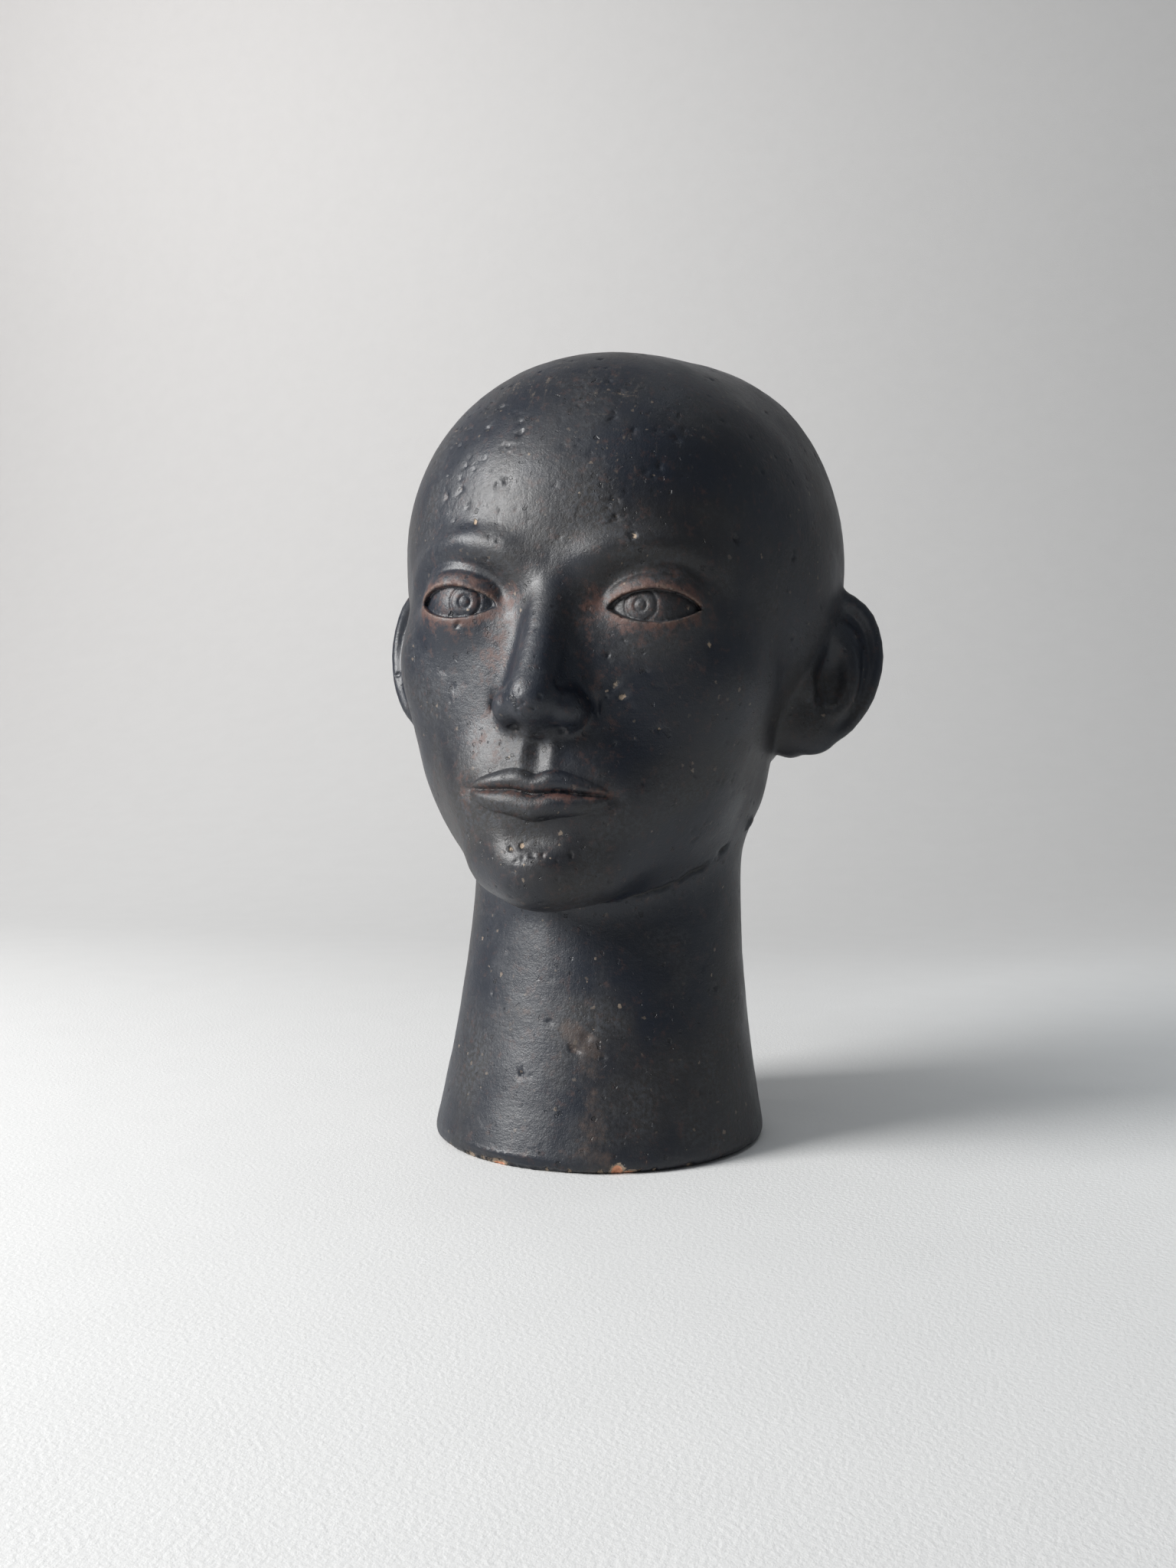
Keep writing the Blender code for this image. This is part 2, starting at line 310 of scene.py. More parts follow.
def nose(d, p):
    """The bridge, its flanks, the tip and the wings, with the nostrils cut in from below."""
    d = soft_join(d, rod(p, (0, -34.6, 4.5), (0, -40.4, -14.5), 4.2, 6.0), 4)
    d = soft_join(d, rod(p, (0, -37.4, 5), (0, -46.4, -14.2), 3.0, 3.6), 3.5)
    d = soft_join(d, egg(p, (0, -46.4, -16.0), (4.2, 4.2, 3.5)), 3.2)
    d = soft_join(d, egg(p, (4.7, -42.7, -17.0), (2.9, 4.7, 3.0)), 2.6)
    d = soft_join(d, rod(p, (0, -46.9, -18.1), (0, -43.2, -19.3), 1.6, 2.0), 1.6)
    crease = [
        (4.2, -46.8, -13.4, 0.1),
        (6.8, -43.7, -13.2, 0.2),
        (8.5, -40.6, -15.4, 0.2),
        (8.7, -39.7, -19.0, 0.0),
    ]
    d = soft_cut(d, strand(p, crease), 2.0)
    return soft_cut(d, rod(p, (2.4, -46.0, -20.8), (3.9, -43.2, -20.5), 0.8, 1.3), 0.9)


MOUTH_HEIGHT = -30.3
MOUTH_HALF_WIDTH = 11.6


def lip_relief(p):
    """How far the closed lips stand out of the muzzle, by where a point lies from in front."""
    across = p[:, 0]
    share = np.clip(1 - (across / MOUTH_HALF_WIDTH) ** 2, 0, 1)
    meeting = 0.30 * bell(across - 4.2, 2.4) - 0.25 * bell(across, 2.0)
    up = p[:, 2] - MOUTH_HEIGHT - meeting
    bow = 0.5 * bell(across, 1.3)
    over = np.clip(up / (3.6 * share**0.6 - bow + 0.05), 0, 1)
    under = np.clip(-up / (4.3 * share**0.5 + 0.05), 0, 1)
    upper = 1.05 * (4 * over * (1 - over)) ** 0.9 * share**0.5
    lower = 1.45 * (4 * under * (1 - under)) ** 0.85 * share**0.6
    crease = 0.38 * bell(up, 0.4) * bell(np.maximum(across - MOUTH_HALF_WIDTH + 0.6, 0), 0.8)
    corner = 0.45 * bell(np.hypot(across - MOUTH_HALF_WIDTH - 0.4, up + 0.2), 1.6)
    return upper + lower - crease - corner


def philtrum(p):
    """How far the groove between nose and lip is sunk, and how its two edges stand."""
    tall = bell(p[:, 2] + 24, 3.4)
    return tall * (0.5 * bell(p[:, 0], 1.3) - 0.3 * bell(p[:, 0] - 2.6, 1.1))


def mouth(d, p):
    """The rounded muzzle, the groove under the nose and the two closed lips."""
    d = soft_join(d, egg(p, (0, -31.4, -29.5), (18, 12.2, 12)), 8)
    d = soft_cut(d, egg(p, (0, -47.6, -37.4), (9, 4.8, 2.8)), 3.5)
    return d - lip_relief(p) + philtrum(p)


EAR = np.array([41.3, 8.5, -7.5])
EAR_OUT = np.array([0.82, 0.57, 0.0])
EAR_UP = np.array([0.0, 0.10, 0.995])
EAR_FRONT = np.cross(EAR_OUT, EAR_UP)


def ear(d, p):
    """One ear, a shell of clay on the side of the head. Its own axes run out, up and forward."""
    q = (p - EAR) @ np.array([EAR_OUT, EAR_UP, EAR_FRONT]).T
    shell = egg(q, (-1.0, 3.0, 0), (8.7, 12.0, 2.6))
    shell = soft_join(shell, egg(q, (-4.8, -8.6, -0.4), (5.6, 5.6, 2.4)), 4)
    shell = soft_join(shell, egg(q, (-8, -2.5, -2.5), (6.4, 12.5, 4.4)), 3)
    shell = soft_cut(shell, egg(q, (-2.6, 0.4, 4.4), (4.2, 7.2, 4.6)), 2.2)
    rim = [
        (-7.5, 8.5, 0.8, 1.4),
        (-5.2, 12.8, 0.8, 1.6),
        (0.8, 15.0, 0.8, 1.7),
        (6.0, 12.2, 0.8, 1.7),
        (8.0, 5.5, 0.8, 1.6),
        (6.4, -2.0, 0.7, 1.5),
        (2.6, -8.0, 0.4, 1.3),
        (-1.6, -11.4, 0.0, 1.0),
    ]
    groove = [
        (-3.5, 10.4, 2.6, 0.9),
        (1.0, 12.0, 2.6, 1.1),
        (4.6, 9.6, 2.6, 1.1),
        (5.6, 4.5, 2.6, 1.0),
        (4.0, -3.0, 2.6, 0.7),
    ]
    fold = [
        (-1.5, 8.6, 1.0, 0.8),
        (2.1, 5.6, 1.4, 1.2),
        (2.7, 0.0, 1.4, 1.3),
        (0.6, -5.0, 1.2, 1.3),
        (-3.2, -7.0, 1.0, 1.2),
    ]
    shell = soft_join(shell, strand(q, rim, 3), 1.6)
    shell = soft_cut(shell, strand(q, groove, 3), 1.4)
    shell = soft_join(shell, strand(q, fold, 3), 1.6)
    shell = soft_join(shell, egg(q, (-7.0, -2.4, 1.0), (1.9, 2.7, 2.0)), 1.6)
    return soft_join(d, shell, 3.6)


# The neck, the hollow and the whole bust


def neck_column(p, form):
    """The neck as a column that widens to the foot and leans towards the head's middle."""
    height = np.clip((p[:, 2] - form.table) / (form.neck_top - form.table), 0, 1.4)
    flare = (form.foot_radius - form.neck_radius) * (1 - height) ** 2 * np.sign(1 - height)
    axis = form.foot + height[:, None] * (form.neck - form.foot)
    steep = 0.97
    return (np.linalg.norm(p[:, :2] - axis, axis=1) - form.neck_radius - flare) * steep


def neck_mass(p, form):
    """The neck's column, ended inside the skull."""
    return soft_cut(neck_column(p, form), form.neck_top + 16 - p[:, 2], 9)


def inside(core, neck, form):
    """The hollow: a wall's thickness within the skull and the neck."""
    return soft_join(core, neck, 13.5) + form.wall


def core_and_head(p, form):
    """The plain skull that the hollow follows, and the finished head."""
    q = form.leaned(p)
    swell = skull_swell(q)
    q[:, 0] = np.abs(q[:, 0])
    core = skull_mass(q) - swell
    head = jaw(core, q)
    for centre, reach, change in ((SOCKET, 20, eye_socket), ((14, -36, 7), 26, brow)):
        close = near(q, centre, reach)
        core[close] = change(core[close], q[close])
        head[close] = change(head[close], q[close])
    details = (
        ((15, -36, 0), 21, eye),
        ((0, -44, -8), 24, nose),
        ((0, -42, -31), 30, mouth),
        (EAR, 26, ear),
    )
    for centre, reach, detail in details:
        close = near(q, centre, reach)
        head[close] = detail(head[close], q[close])
    return core, head


def head_and_neck(p, form):
    """The finished head's field and the neck's."""
    return core_and_head(p, form)[1], neck_mass(p, form)


def bust(p, form):
    """The whole field of the bust."""
    core, head = core_and_head(p, form)
    neck = neck_mass(p, form)
    whole = soft_join(head, neck, 9)
    whole = -soft_join(-whole, p[:, 2] - form.table, form.rounding)
    return np.maximum(whole, -inside(core, neck, form))


# From the field to a mesh


# Steps to a side of a block in which the surface is looked for, and blocks worked out at once
COARSE_STEPS = 4
BATCH = 1500


def skin(field, low, high, step):
    """The surface where a field is zero, as points and quads, looked for finely only near it."""
    coarse = step * COARSE_STEPS
    blocks = np.ceil((np.asarray(high) - low) / coarse).astype(int)
    corner = [np.arange(n) * coarse for n in blocks]
    places = np.stack(np.meshgrid(*corner, indexing="ij"), axis=-1).reshape(-1, 3) + low
    middles = field(places + coarse / 2 - step / 2)
    crossed = np.flatnonzero(np.abs(middles) < 1.6 * coarse)
    grid = np.empty((len(places), COARSE_STEPS**3), np.float32)
    grid[:] = np.clip(middles, -coarse, coarse)[:, None]
    fine = np.arange(COARSE_STEPS) * step
    offsets = np.stack(np.meshgrid(fine, fine, fine, indexing="ij"), axis=-1).reshape(-1, 3)
    for some in np.array_split(crossed, max(1, len(crossed) // BATCH)):
        points = (places[some, None] + offsets).reshape(-1, 3)
        grid[some] = field(points).reshape(len(some), -1)
    n, m = blocks, COARSE_STEPS
    grid = grid.reshape(n[0], n[1], n[2], m, m, m).transpose(0, 3, 1, 4, 2, 5).reshape(n * m)
    volume = openvdb.FloatGrid(coarse)
    volume.copyFromArray(np.ascontiguousarray(grid))
    volume.transform = openvdb.createLinearTransform(step)
    points, quads = volume.convertToQuads()
    return points.astype(float) + low, quads


def settle(field, points, step):
    """Points moved along the field's slope towards the surface, and the slope's direction there."""
    nudge = step / 4
    here = field(points)
    slope = np.empty_like(points)
    for axis in range(3):
        shift = np.zeros(3)
        shift[axis] = nudge
        slope[:, axis] = (field(points + shift) - here) / nudge
    steepness = np.maximum((slope**2).sum(axis=1), 0.25)
    move = np.clip(here / steepness, -step / 2, step / 2)
    return points - move[:, None] * slope, slope / np.sqrt(steepness)[:, None]


# After this many cells to a side, the noise repeats
NOISE_CELLS = 32


def lumps(points, size, seed):
    """Smooth noise from -1 to 1, with lumps of about the given size."""
    table = np.random.default_rng(seed).uniform(-1, 1, (NOISE_CELLS,) * 3)
    places = points / size
    cell = np.floor(places).astype(int)
    t = places - cell
    t = t * t * (3 - 2 * t)
    total = np.zeros(len(points))
    for corner in np.ndindex(2, 2, 2):
        weight = np.where(corner, t, 1 - t).prod(axis=1)
        x, y, z = ((cell + corner) % NOISE_CELLS).T
        total += weight * table[x, y, z]
    return total


# Marks of age and wear, in hundredths of the head's height. Each chip has its place, its radius,
# its depth and how bare its clay is.
CHIPS = (
    ((10.9, -39.7, -13.1), 1.5, 0.22, 0.35),
    ((11.7, -39.5, -15.0), 0.9, 0.35, 0.75),
    ((-12.7, -39.4, 13.4), 0.7, 0.20, 0.75),
    ((13.7, -40.8, 9.8), 0.8, 0.25, 0.75),
    ((10.4, -40.0, 15.5), 0.7, 0.35, 0.6),
    ((10.9, -40.1, 13.2), 0.5, 0.3, 0.3),
    ((16.8, -36.5, 21.4), 1.1, 0.25, 0.12),
    ((14.9, -37.6, 20.4), 0.8, 0.2, 0.15),
    ((10.0, -32.9, 34.4), 1.2, 0.14, 0.3),
    ((-16.6, -36.3, 19.4), 0.9, 0.3, 0.1),
    ((27.9, -28.8, 10.7), 0.8, 0.4, 0.05),
    ((24.4, -33.9, -6.7), 0.7, 0.25, 0.6),
    ((17.1, -36.7, -20.5), 0.6, 0.2, 0.6),
    ((26.3, -2.2, -35.9), 1.5, -0.5, 0.15),
    ((-3.9, -43.0, -38.7), 0.7, 0.2, 0.8),
    ((-5.6, -43.1, -39.0), 0.6, 0.2, 0.8),
    ((-8.3, -28.5, -77.8), 0.55, 0.45, 0.0),
    ((1.0, -28.5, -73.4), 1.6, 0.35, 0.1),
    ((2.9, -28.3, -71.0), 1.1, 0.25, 0.2),
    ((3.8, -27.5, -70.0), 0.5, 0.2, 0.6),
    ((22.0, -13.2, -64.4), 0.5, 0.3, 0.5),
    ((-27, 30, 30), 1.4, 0.25, 0.25),
    ((24, 48, 4), 1.2, 0.3, 0.4),
    ((-30, 34, -18), 1.3, 0.3, 0.3),
    ((-14, 25, -72), 1.2, 0.3, 0.35),
    ((9, 27, -58), 0.9, 0.3, 0.3),
)

# Clusters of pits: their middle, how far they spread and how thick they are
CLUSTERS = (
    ((-3.0, -41.2, 14.3), 3.2, 1.0),
    ((-10, -38, 20), 8, 0.45),
    ((-18, -30, 32), 9, 0.5),
    ((10, -36, 28), 9, 0.4),
    ((8, -33, 36), 6, 0.5),
    ((12, -40, 14), 4, 0.6),
    ((-1.5, -43.5, -42), 3.8, 1.7),
    ((-2.2, -50, -16), 2.4, 1.0),
    ((-16, -36, -15), 4, 0.5),
    ((14, -38, -20), 6, 0.4),
    ((-8, -40, -36), 6, 0.35),
    ((27, -28, -34), 7, 0.3),
    ((10, 46, 24), 10, 0.5),
    ((-26, 34, 0), 9, 0.4),
    ((20, 20, 44), 10, 0.4),
)


def pitted(points):
    """How thickly pits lie at each point, from 0 to about 1."""
    crowd = np.zeros(len(points))
    for middle, spread, thick in CLUSTERS:
        crowd = np.maximum(crowd, thick * patch(points, middle, spread))
    return crowd


def feature_places(q):
    """Which points of the head's left half are on the eye, the nose's tip, the mouth or the ear."""
    eyes = near(q, (14.5, -38, 0), 11.5)
    return eyes | near(q, (3, -44, -17), 9) | near(q, (6, -42, -30), 11) | near(q, EAR, 17)


def mirrored(p, form):
    """Points as the leaning head sees them, all brought to its left half."""
    q = form.leaned(p)
    q[:, 0] = np.abs(q[:, 0])
    return q


def dent(points, centre, radius, seed):
    """How deep a ragged dent, narrowed one way, is at each point: 0 outside it, 1 at its floor."""
    close = np.flatnonzero(near(points, centre, radius * 1.7))
    depth = np.zeros(len(points))
    offset = points[close] - centre
    squeezed = np.random.default_rng(seed).normal(size=3)
    across = offset @ (squeezed / np.linalg.norm(squeezed))
    ragged = 1 + 0.5 * lumps(points[close], max(radius * 0.8, 0.35), 6)
    share = np.sqrt((offset**2).sum(axis=1) + 1.6 * across**2) / (radius * ragged)
    depth[close] = np.clip(1.2 - 1.2 * share**2, 0, 1)
    return depth


# The hand-smoothed surface's soft unevenness: each lump's size and height
HAND_LUMPS = ((13, 0.10), (5.5, 0.06), (2.3, 0.032), (1.1, 0.018))


# Fresh breaks of the foot's edge: how bare, then the angle and height of each, with their spreads
FRESH_BREAKS = (
    (1, 0.355, 0.032, 0.5, 1.1),
    (0.8, 0.425, 0.035, 0, 0.6),
    (0.7, -0.36, 0.05, 0.3, 0.6),
)

# The seeds of the way in which the first pit and the first chip are narrowed. The rest count on.
PIT_SEED = 100
CHIP_SEED = 30


class Wear:
    """What time and tools did to the surface: how deep it is pressed and how bare the clay is."""

    def __init__(self, points, form, sizes):
        self.form = form
        rng = np.random.default_rng(7)
        spared = feature_places(mirrored(points, form)) & ~near(points, (-2, -50, -15), 4)
        crowd = (0.2 + 7 * pitted(points)) * np.where(spared, 0.15, 1)
        picked = rng.choice(len(points), sizes.pits, replace=False, p=crowd / crowd.sum())
        self.pits = [(points[i], rng.uniform(0.35, 0.5 + 0.5 * rng.random() ** 4)) for i in picked]
        self.chips = [(nearest(points, chip[0]), *chip[1:]) for chip in CHIPS]

    def foot_angle(self, p):
        """The angle round the foot from its front to its left, and the height above the table."""
        flat = p[:, :2] - self.form.foot
        return np.arctan2(flat[:, 0], -flat[:, 1]), p[:, 2] - self.form.table

    def foot_nicks(self, p):
        """Small breaks along the foot's edge, more on its right, and larger fresh ones in front."""
        angle, height = self.foot_angle(p)
        round_foot = np.column_stack([angle * 30, height * 0, height * 0])
        rough = lumps(round_foot, 1.3, 21) + 0.5 * lumps(round_foot, 0.5, 22)
        low = bell(np.maximum(height - 0.3, 0), 0.7)
        nicks = np.clip(rough - 0.30 + 0.40 * bell(angle + 0.5, 0.6), 0, 1) * low
        fresh = [
            share * bell(angle - at, wide) * bell(height - up, tall)
            for share, at, wide, up, tall in FRESH_BREAKS
        ]
        return nicks, np.max(fresh, axis=0)

    def foot_step(self, p):
        """A thin step round the front of the foot, where the last strip of clay was pressed on."""
        angle, height = self.foot_angle(p)
        wave = lumps(np.column_stack([angle * 8, angle * 0, angle * 0]), 1.0, 23)
        line = 2.3 - 1.2 * (angle + 0.44) + 0.25 * wave
        above = height - line
        ridge = -0.28 * bell(above, 0.40)
        under = 0.42 / (1 + np.exp(np.clip(above / 0.12, -30, 30)))
        return bell(angle + 0.35, 0.42) * (ridge + under)

    def pressed(self, p, seam):
        """How far the surface lies under the smooth form. The seam is the crack under the chin."""
        depth = np.zeros(len(p))
        for seed, (size, height) in enumerate(HAND_LUMPS, start=1):
            depth += height * lumps(p, size, seed)
        for seed, (place, radius) in enumerate(self.pits, start=PIT_SEED):
            depth += 0.36 * radius * dent(p, place, radius, seed)
        for seed, (place, radius, deep, _) in enumerate(self.chips, start=CHIP_SEED):
            depth += deep * dent(p, place, radius, seed)
        nicks, fresh = self.foot_nicks(p)
        return depth + 0.4 * nicks + 0.6 * fresh + self.foot_step(p) + 0.5 * seam

    def bare(self, p):
        """Where the slip is broken off, from 0 to 1."""
        shown = np.zeros(len(p))
        for seed, (place, radius, _, bare) in enumerate(self.chips, start=CHIP_SEED):
            shown = np.maximum(shown, bare * dent(p, place, radius * 0.9, seed))
        nicks, fresh = self.foot_nicks(p)
        return np.clip(np.maximum(shown, np.maximum(0.8 * nicks, 2.2 * fresh)), 0, 1)


def crack_line(p, form):
    """The broken crack where the chin was set on the neck, from 0 to 1."""
    head, neck = head_and_neck(p, form)
    line = bell(head - neck + 0.6 * lumps(p, 2.5, 25), 0.55) * (p[:, 1] < -10)
    return line * np.clip(2.2 * lumps(p, 4.2, 24) + 0.85, 0, 1)


def rubbed(p, form):
    """Where the slip is worn thin, from 0 to 1: at the lids, beside the nose and at the mouth."""
    q = form.leaned(p)
    right = 1 / (1 + np.exp(q[:, 0] / 3))
    q[:, 0] = np.abs(q[:, 0])
    from_eye = q - EYE
    across = from_eye[:, 0] * math.cos(EYE_TURN) + from_eye[:, 1] * math.sin(EYE_TURN)
    upper, lower = lid_edges(across)
    past = np.maximum(from_eye[:, 2] - upper, lower - from_eye[:, 2])
    wide = bell(np.maximum(np.abs(across) - 6.5, 0), 2.5) * (from_eye[:, 1] < 4)
    rims = 0.80 * bell(past - 0.4, 0.65) * wide
    ball = 0.2 * (past < 0) * wide
    lids = 0.52 * bell(past, 2.6) * (past > 0) * wide
    inner = 0.75 * patch(q, (7.2, -38.0, -1.0), 3.2, (0.8, 1.4, 1.3))
    flank = patch(q, (8.4, -39.6, -8), 2.8, (1, 1, 2.4)) * (0.20 + 0.35 * right)
    wing = patch(q, (9.8, -41, -21), 3.6, (1, 1, 1.5)) * (0.10 + 0.30 * right)
    on_lips = bell(np.maximum(q[:, 0] - 10.5, 0), 1.6) * (q[:, 1] < -34)
    lips = 0.55 * bell(q[:, 2] - MOUTH_HEIGHT, 1.1) * on_lips
    corner = 0.32 * patch(q, (12.0, -40, -30.5), 3.2) * (0.4 + 0.6 * right)
    return np.clip(np.max([rims, ball, lids, inner, flank, wing, lips, corner], axis=0), 0, 1)


def stain(p):
    """The brown clouds and the run down the front of the neck, from 0 to 1."""
    pink = 0.55 * patch(p, (-10.2, -25.6, -67.6), 2.2, (1.6, 1.6, 1))
    cloud = [(-0.5, -28.0, -70.0, 0.8), (3.4, -28.4, -73.0, 1.5)]
    upper = 0.8 * bell(np.maximum(strand(p, cloud), 0), 1.2)
    trail = [
        (3.4, -28.6, -74, 0.4),
        (4.0, -29.6, -80, 0.7),
        (4.9, -31.2, -87.5, 1.4),
        (5.4, -32.0, -91.5, 1.8),
    ]
    run = 0.55 * bell(np.maximum(strand(p, trail), 0), 1.6)
    return np.clip(np.max([pink, upper, run], axis=0), 0, 1)


def scuffed(p):
    """Where the crown, the forehead and the back were brushed hard, from 0 to 1."""
    front = ((9, -32, 36, 6.5), (-6, -30, 38, 5), (10, -39, 24, 5))
    back = ((-14, 40, 30, 9), (22, 30, 38, 8))
    return np.max([patch(p, place[:3], place[3]) for place in front + back], axis=0)


def rows(elements, name):
    """A place or direction of every vertex or face, one to a row."""
    values = np.empty(len(elements) * 3)
    elements.foreach_get(name, values)
    return values.reshape(-1, 3)


def bend(mesh):
    """How hollow (below 0) or raised (above 0) each vertex lies among its neighbours."""
    count = len(mesh.vertices)
    points = rows(mesh.vertices, "co")
    normals = rows(mesh.vertex_normals, "vector")
    edges = np.empty(len(mesh.edges) * 2, np.int64)
    mesh.edges.foreach_get("vertices", edges)
    a, b = edges.reshape(-1, 2).T
    step = points[b] - points[a]
    length = np.maximum((step**2).sum(axis=1), 1e-12)
    bends = ((normals[b] - normals[a]) * step).sum(axis=1) / length
    degree = np.maximum(np.bincount(a, minlength=count) + np.bincount(b, minlength=count), 1)
    raised = (np.bincount(a, bends, count) + np.bincount(b, bends, count)) / degree
    for _ in range(3):
        around_it = np.bincount(a, raised[b], count) + np.bincount(b, raised[a], count)
        raised = 0.4 * raised + 0.6 * around_it / degree
    return raised


# Materials. Their heights are in millimetres.
MILLIMETRE = 0.001
NODE_GRID = (200, -180)
SMOKED_CLAY = (0.045, 0.030, 0.024)
# Near-black used as painted shade in pits and deep creases, and for the real dark crack under the
# chin
SHADE_AND_CRACK_BLACK = (0.002, 0.002, 0.003)


def new_node(tree, kind, place, inputs=(), **settings):
    """A node on the node grid, with its properties set and its inputs fed by values or sockets."""
    node = tree.nodes.new(kind)
    node.location = (place[0] * NODE_GRID[0], place[1] * NODE_GRID[1])
    for name, value in settings.items():
        setattr(node, name, value)
    for name, value in dict(inputs).items():
        if isinstance(value, bpy.types.NodeSocket):
            tree.links.new(value, node.inputs[name])
        else:
            node.inputs[name].default_value = value
    return node


def noise(tree, coords, scale, detail, place, roughness=0.55):
    """A noise texture's value."""
    inputs = {"Vector": coords, "Scale": scale, "Detail": detail, "Roughness": roughness}
    return new_node(tree, "ShaderNodeTexNoise", place, inputs).outputs["Fac"]


def ramp(tree, value, low, high, place, to_low=0.0, to_high=1.0):
    """A value spread from one range to another, held at its ends."""
    inputs = {
        "Value": value,
        "From Min": low,
        "From Max": high,
        "To Min": to_low,
        "To Max": to_high,
    }
    node = new_node(tree, "ShaderNodeMapRange", place, inputs, interpolation_type="SMOOTHSTEP")
    return node.outputs["Result"]


def math_node(tree, operation, a, b, place, clamp=False):
    """One sum of two values, each a socket or a number."""
    settings = {"operation": operation, "use_clamp": clamp}
    return new_node(tree, "ShaderNodeMath", place, {0: a, 1: b}, **settings).outputs[0]


def mix_colour(tree, amount, a, b, place):
    """Colour a turned to colour b by an amount. Each is a socket or a colour."""
    node = new_node(tree, "ShaderNodeMix", place, {0: amount}, data_type="RGBA")
    for socket, value in zip([s for s in node.inputs if s.type == "RGBA"], (a, b)):
        if isinstance(value, bpy.types.NodeSocket):
            tree.links.new(value, socket)
        else:
            socket.default_value = (*value, 1)
    return next(s for s in node.outputs if s.type == "RGBA")


def group_tree(name, inputs, outputs):
    """An empty shader node group with named inputs, each with its value, and named outputs."""
    tree = bpy.data.node_groups.new(name, "ShaderNodeTree")
    for label, kind, value in inputs:
        socket = tree.interface.new_socket(name=label, in_out="INPUT", socket_type=kind)
        if value is not None:
            socket.default_value = value
    for label, kind in outputs:
        tree.interface.new_socket(name=label, in_out="OUTPUT", socket_type=kind)
    given = new_node(tree, "NodeGroupInput", (-2, 0))
    return tree, given, new_node(tree, "NodeGroupOutput", (8, 0))


def spots_group():
    """Ragged spots at random. Spacing is spots to a metre, Size a spot's share of its cell."""
    sockets = (
        ("Vector", "NodeSocketVector", None),
        ("Spacing", "NodeSocketFloat", 200.0),
        ("Size", "NodeSocketFloat", 0.2),
        ("Share", "NodeSocketFloat", 0.3),
    )
    tree, given, result = group_tree("spots", sockets, (("Spots", "NodeSocketFloat"),))
    inputs = {0: given.outputs["Vector"], "Scale": given.outputs["Spacing"]}
    spaced = new_node(tree, "ShaderNodeVectorMath", (-1, 0), inputs, operation="SCALE").outputs[0]
    wobble = new_node(tree, "ShaderNodeTexNoise", (0, 1), {"Vector": spaced, "Scale": 2.4})
    inputs = {0: wobble.outputs["Color"], 1: (0.7, 0.7, 0.7), 2: spaced}
    torn = new_node(tree, "ShaderNodeVectorMath", (1, 0), inputs, operation="MULTIPLY_ADD")
    inputs = {"Vector": torn.outputs[0], "Scale": 1.0}
    cells = new_node(tree, "ShaderNodeTexVoronoi", (2, 0), inputs, feature="F1")
    chance = new_node(tree, "ShaderNodeSeparateColor", (3, 1), {"Color": cells.outputs["Color"]})
    chosen = math_node(tree, "LESS_THAN", chance.outputs[0], given.outputs["Share"], (4, 1))
    wide = math_node(tree, "MULTIPLY", chance.outputs[1], given.outputs["Size"], (4, 2))
    within = math_node(tree, "SUBTRACT", wide, cells.outputs["Distance"], (5, 0))
    sharp = math_node(tree, "MULTIPLY", within, 14.0, (6, 0), clamp=True)
    strength = ramp(tree, chance.outputs[2], 0, 1, (5, 3), 0.35, 1.0)
    varied = math_node(tree, "MULTIPLY", sharp, strength, (7, 1))
    tree.links.new(math_node(tree, "MULTIPLY", varied, chosen, (7, 0)), result.inputs["Spots"])
    return tree


def clay_grain_group():
    """Fine tooth, a leathery skin, soft clouds and brushed strokes, each from 0 to 1."""
    outputs = tuple((name, "NodeSocketFloat") for name in ("Tooth", "Leather", "Clouds", "Strokes"))
    tree, given, result = group_tree("clay grain", (("Vector", "NodeSocketVector", None),), outputs)
    coords = given.outputs["Vector"]
    patterns = (("Tooth", 1500, 3, 0.65), ("Leather", 620, 4, 0.62), ("Clouds", 30, 6, 0.62))
    for row, (name, scale, detail, roughness) in enumerate(patterns):
        pattern = noise(tree, coords, scale, detail, (1, row), roughness)
        tree.links.new(pattern, result.inputs[name])
    brushed = []
    ways = (((0.4, 0.5, 0.0), (80, 90, 700)), ((0.9, 0.2, 0.7), (700, 90, 80)))
    for i, (turn, squeeze) in enumerate(ways):
        inputs = {"Vector": coords, "Rotation": turn, "Scale": squeeze}
        way = new_node(tree, "ShaderNodeMapping", (0, 3 + i), inputs)
        brushed.append(noise(tree, way.outputs["Vector"], 1.0, 4, (1, 3 + i), 0.6))
    way = ramp(tree, noise(tree, coords, 22, 2, (1, 5)), 0.42, 0.58, (2, 5))
    strokes = new_node(tree, "ShaderNodeMix", (3, 3), data_type="FLOAT")
    for socket, value in zip([s for s in strokes.inputs if s.type == "VALUE"], (way, *brushed)):
        tree.links.new(value, socket)
    tree.links.new(strokes.outputs[0], result.inputs["Strokes"])
    return tree


def place_group(tree, group, coords, place, **values):
    """A copy of a group in a material, fed with the coordinates."""
    return new_node(tree, "ShaderNodeGroup", place, {"Vector": coords, **values}, node_tree=group)


def new_material(name, grain):
    """A material with its Principled BSDF, Object coordinates and the clay's grain."""
    material = bpy.data.materials.new(name)
    material.use_nodes = True
    tree = material.node_tree
    shader = tree.nodes["Principled BSDF"]
    shader.location = (2400, 0)
    tree.nodes["Material Output"].location = (2700, 0)
    coords = new_node(tree, "ShaderNodeTexCoord", (-3, 0)).outputs["Object"]
    return material, tree, shader, coords, place_group(tree, grain, coords, (-1, 0)).outputs


def press(tree, shader, height, place):
    """Turns a height in millimetres into the shader's small relief."""
    bump = new_node(tree, "ShaderNodeBump", place, {"Distance": MILLIMETRE, "Height": height})
    tree.links.new(bump.outputs["Normal"], shader.inputs["Normal"])


def attribute(tree, name, place):
    """A value painted on the mesh's vertices."""
    return new_node(tree, "ShaderNodeAttribute", place, attribute_name=name).outputs["Fac"]


